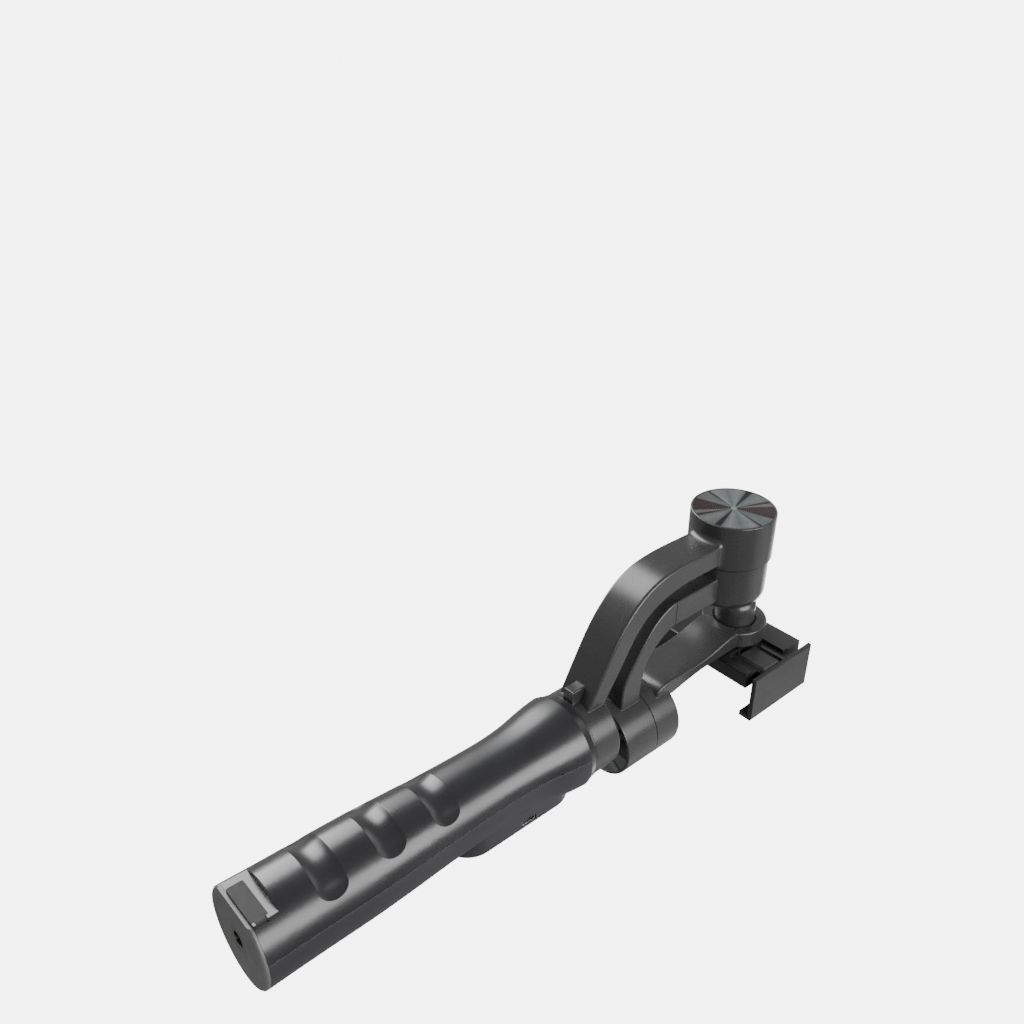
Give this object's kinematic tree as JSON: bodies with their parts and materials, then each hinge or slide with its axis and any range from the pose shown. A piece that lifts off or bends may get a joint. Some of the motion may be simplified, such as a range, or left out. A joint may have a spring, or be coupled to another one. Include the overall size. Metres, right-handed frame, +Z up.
{
  "type": "handheld camera gimbal",
  "caption": "Folded three-axis handheld gimbal for a smartphone: grip with control panel, curved motor arms and a sprung phone clamp.",
  "frame": {"origin": "mouth of the tripod socket at the centre of the grip's underside", "axes": "+Z up the grip towards the motors, -Y the front with the control panel, +X the user's right"},
  "size_m": [0.065, 0.1078, 0.2908],
  "materials": {
    "grip_front": "satin black-grey moulded plastic",
    "grip_rear": "semi-gloss gunmetal lacquered plastic",
    "base_black": "matt black plastic",
    "insert_brass": "turned, knurled",
    "trim_black": "satin black plastic",
    "flap_rubber": "soft matt rubber",
    "steel": "plain",
    "panel_grey": "light grey, fine matt",
    "button_grey": "light grey",
    "stick_grey": "satin grey cap",
    "light_lens": "clear lens",
    "cell_can": "blue heat-shrunk cell",
    "board_green": "circuit board",
    "arm_alloy": "cast, dark grey semi-gloss paint",
    "cap_alloy": "spun disc with fine rings",
    "motor_core": "laminations with copper windings",
    "magnet": "plated magnets",
    "bell": "turned steel",
    "clamp_black": "glass-filled black plastic",
    "slide_grey": "dark grey plastic",
    "pad_rubber": "ribbed soft rubber",
    "screw_black": "black-oxide screws"
  },
  "bodies": {
    "handle": {"front_shell": "grip_front", "rear_shell": "grip_rear", "base_plate": "base_black", "tripod_insert": "insert_brass", "usb_sockets": "steel", "battery_cell": "cell_can", "battery_cradle": "trim_black", "battery_contacts": "steel", "shell_screws": "screw_black", "control_panel": "panel_grey", "joystick_module": "trim_black", "joystick_skirt": "trim_black", "panel_switches": "trim_black", "main_board": "board_green", "top_ring": "trim_black", "pan_stop_finger": "trim_black", "pan_motor_stator": "motor_core", "pan_motor_bearings": "steel"},
    "usb_flap": {"usb_cover": "flap_rubber"},
    "shutter": {"shutter_button": "button_grey"},
    "power": {"power_button": "button_grey", "status_light": "light_lens"},
    "zoom": {"zoom_slider": "button_grey"},
    "stick_ring": {"joystick_ring": "trim_black"},
    "stick": {"joystick_cap": "stick_grey"},
    "pan_frame": {"pan_motor_magnets": "magnet", "pan_motor_bell": "bell", "pan_motor_shaft": "steel", "pan_arm": "arm_alloy", "pan_driver_board": "board_green", "roll_motor_stator": "motor_core", "roll_motor_bearings": "steel", "roll_motor_cap": "cap_alloy"},
    "roll_frame": {"roll_motor_magnets": "magnet", "roll_motor_bell": "bell", "roll_motor_shaft": "steel", "roll_arm": "arm_alloy", "roll_front_cover": "cap_alloy"},
    "knob": {"lock_knob": "clamp_black"},
    "tilt_frame": {"tilt_arm": "arm_alloy", "tilt_motor_stator": "motor_core", "tilt_motor_bearings": "steel", "tilt_motor_cap": "cap_alloy"},
    "clamp_bracket": {"tilt_motor_magnets": "magnet", "tilt_motor_bell": "bell", "tilt_motor_shaft": "steel", "clamp_arm": "arm_alloy", "tilt_inner_cover": "cap_alloy", "motion_sensor_board": "board_green"},
    "clamp": {"clamp_hub": "arm_alloy", "clamp_body": "clamp_black", "clamp_back_pad": "pad_rubber", "fixed_jaw": "clamp_black", "fixed_jaw_pad": "pad_rubber", "fixed_jaw_screws": "screw_black", "clamp_spring": "steel"},
    "jaw": {"moving_jaw": "clamp_black", "moving_jaw_pad": "pad_rubber", "moving_jaw_pins": "screw_black", "clamp_slide": "slide_grey"}
  },
  "joints": [
    {"name": "pan_hinge", "type": "hinge", "parent": "handle", "child": "pan_frame", "pos_m": [0, 0, 0.163], "axis": [0, 0, 1], "range_deg": [-145, 145]},
    {"name": "roll_hinge", "type": "hinge", "parent": "pan_frame", "child": "roll_frame", "pos_m": [0, 0.055, 0.2585], "axis": [0, 1, 0], "range_deg": [-160, 160]},
    {"name": "tilt_hinge", "type": "hinge", "parent": "tilt_frame", "child": "clamp_bracket", "pos_m": [0, -0.012, 0.1958], "axis": [0, 0, 1], "range_deg": [-40, 40]},
    {"name": "clamp_turn", "type": "hinge", "parent": "clamp_bracket", "child": "clamp", "pos_m": [0, 0.008, 0.27], "axis": [0, 1, 0], "range_deg": [0, 90]},
    {"name": "arm_slide", "type": "slide", "parent": "roll_frame", "child": "tilt_frame", "axis": [0, 0, -1], "range_m": [0, 0.004]},
    {"name": "lock_knob_turn", "type": "hinge", "parent": "roll_frame", "child": "knob", "pos_m": [0, 0.034, 0.223], "axis": [0, -1, 0], "range_deg": [-90, 90]},
    {"name": "jaw_slide", "type": "slide", "parent": "clamp", "child": "jaw", "axis": [-1, 0, 0], "range_m": [0, 0.03], "stiffness_N_per_m": 60, "springref_m": -0.03, "deforming": ["clamp_spring"]},
    {"name": "joystick_x", "type": "hinge", "parent": "handle", "child": "stick_ring", "pos_m": [0, -0.017, 0.132], "axis": [1, 0, 0], "range_deg": [-8, 8], "stiffness_Nm_per_rad": 0.05},
    {"name": "joystick_z", "type": "hinge", "parent": "stick_ring", "child": "stick", "pos_m": [0, -0.017, 0.132], "axis": [0, 0, 1], "range_deg": [-8, 8], "stiffness_Nm_per_rad": 0.05},
    {"name": "zoom_slide", "type": "slide", "parent": "handle", "child": "zoom", "axis": [0, 0, 1], "range_m": [-0.003, 0.003], "stiffness_N_per_m": 150},
    {"name": "shutter_press", "type": "slide", "parent": "handle", "child": "shutter", "axis": [0, 1, 0], "range_m": [0, 0.0006], "stiffness_N_per_m": 800, "springref_m": -0.0002},
    {"name": "power_press", "type": "slide", "parent": "handle", "child": "power", "axis": [0, 1, 0], "range_m": [0, 0.0006], "stiffness_N_per_m": 800, "springref_m": -0.0002},
    {"name": "usb_cover_hinge", "type": "hinge", "parent": "handle", "child": "usb_flap", "pos_m": [-0.0119, 0.0167, 0.00475], "axis": [0, 0, 1], "range_deg": [0, 100]}
  ]
}
